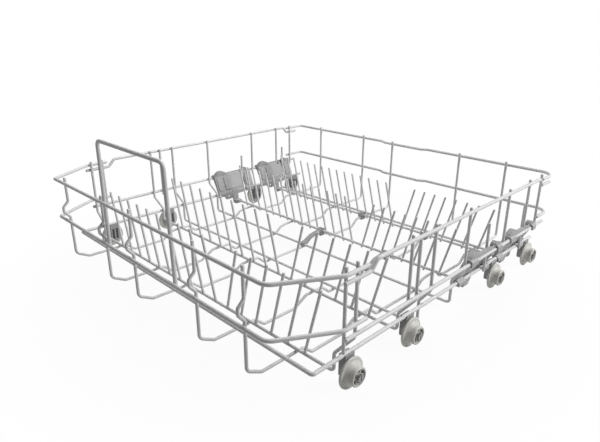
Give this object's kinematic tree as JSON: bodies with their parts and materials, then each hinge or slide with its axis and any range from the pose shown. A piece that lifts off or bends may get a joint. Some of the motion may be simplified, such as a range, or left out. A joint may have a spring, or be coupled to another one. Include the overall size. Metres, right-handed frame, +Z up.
{
  "type": "dishwasher_basket",
  "caption": "Lower dishwasher basket of grey coated wire on rollers, with a pull handle, fixed plate tines and two folding tine racks.",
  "frame": {"origin": "bottom centre, on the track the rollers stand on", "axes": "X right along the front wall, Y front to back, Z up"},
  "size_m": [0.509, 0.5115, 0.2062],
  "materials": {
    "coated_wire": "satin plastic coating on steel wire",
    "holder_plastic": "moulded, satin",
    "bracket_plastic": "moulded, satin",
    "roller_plastic": "moulded, satin"
  },
  "bodies": {
    "basket": {"front_top_rail": "coated_wire", "front_lower_rail": "coated_wire", "back_top_rail": "coated_wire", "back_lower_rail": "coated_wire", "left_top_rail": "coated_wire", "right_top_rail": "coated_wire", "left_lower_rail": "coated_wire", "right_lower_rail": "coated_wire", "bottom_frame": "coated_wire", "pull_handle": "coated_wire", "floor_wire_1": "coated_wire", "floor_wire_2": "coated_wire", "floor_wire_3": "coated_wire", "floor_wire_4": "coated_wire", "floor_wire_5": "coated_wire", "cross_wire_1": "coated_wire", "cross_wire_2": "coated_wire", "cross_wire_3": "coated_wire", "cross_wire_4": "coated_wire", "cross_wire_5": "coated_wire", "left_wall_posts": "coated_wire", "right_wall_posts": "coated_wire", "holder_posts": "coated_wire", "tine_row_1": "coated_wire", "tine_row_2": "coated_wire", "rack_holder_front_left": "holder_plastic", "rack_holder_front_right": "holder_plastic", "rack_holder_rear_left": "holder_plastic", "rack_holder_rear_right": "holder_plastic", "rod_clip_front_left": "holder_plastic", "rod_clip_front_right": "holder_plastic", "rod_clip_rear_left": "holder_plastic", "rod_clip_rear_right": "holder_plastic", "axle_bracket_left_1": "bracket_plastic", "axle_bracket_left_2": "bracket_plastic", "axle_bracket_left_3": "bracket_plastic", "axle_bracket_left_4": "bracket_plastic", "axle_bracket_right_1": "bracket_plastic", "axle_bracket_right_2": "bracket_plastic", "axle_bracket_right_3": "bracket_plastic", "axle_bracket_right_4": "bracket_plastic"},
    "front_rack": {"fold_rod_front": "coated_wire", "fold_tines_front": "coated_wire"},
    "rear_rack": {"fold_rod_rear": "coated_wire", "fold_tines_rear": "coated_wire"},
    "roller_left_1_body": {"roller_left_1": "roller_plastic"},
    "roller_left_2_body": {"roller_left_2": "roller_plastic"},
    "roller_left_3_body": {"roller_left_3": "roller_plastic"},
    "roller_left_4_body": {"roller_left_4": "roller_plastic"},
    "roller_right_1_body": {"roller_right_1": "roller_plastic"},
    "roller_right_2_body": {"roller_right_2": "roller_plastic"},
    "roller_right_3_body": {"roller_right_3": "roller_plastic"},
    "roller_right_4_body": {"roller_right_4": "roller_plastic"}
  },
  "joints": [
    {"name": "front_rack_fold", "type": "hinge", "parent": "basket", "child": "front_rack", "pos_m": [0, 0.066, 0.0226], "axis": [1, 0, 0], "range_deg": [0, 86]},
    {"name": "rear_rack_fold", "type": "hinge", "parent": "basket", "child": "rear_rack", "pos_m": [0, 0.167, 0.0226], "axis": [1, 0, 0], "range_deg": [0, 86]},
    {"name": "roller_left_1_spin", "type": "hinge", "parent": "basket", "child": "roller_left_1_body", "pos_m": [-0.245, -0.17, 0.0171], "axis": [1, 0, 0], "continuous": true},
    {"name": "roller_left_2_spin", "type": "hinge", "parent": "basket", "child": "roller_left_2_body", "pos_m": [-0.245, -0.0706, 0.0171], "axis": [1, 0, 0], "continuous": true},
    {"name": "roller_left_3_spin", "type": "hinge", "parent": "basket", "child": "roller_left_3_body", "pos_m": [-0.245, 0.1198, 0.0171], "axis": [1, 0, 0], "continuous": true},
    {"name": "roller_left_4_spin", "type": "hinge", "parent": "basket", "child": "roller_left_4_body", "pos_m": [-0.245, 0.2183, 0.0171], "axis": [1, 0, 0], "continuous": true},
    {"name": "roller_right_1_spin", "type": "hinge", "parent": "basket", "child": "roller_right_1_body", "pos_m": [0.245, -0.17, 0.0171], "axis": [1, 0, 0], "continuous": true},
    {"name": "roller_right_2_spin", "type": "hinge", "parent": "basket", "child": "roller_right_2_body", "pos_m": [0.245, -0.0706, 0.0171], "axis": [1, 0, 0], "continuous": true},
    {"name": "roller_right_3_spin", "type": "hinge", "parent": "basket", "child": "roller_right_3_body", "pos_m": [0.245, 0.1198, 0.0171], "axis": [1, 0, 0], "continuous": true},
    {"name": "roller_right_4_spin", "type": "hinge", "parent": "basket", "child": "roller_right_4_body", "pos_m": [0.245, 0.2183, 0.0171], "axis": [1, 0, 0], "continuous": true}
  ]
}
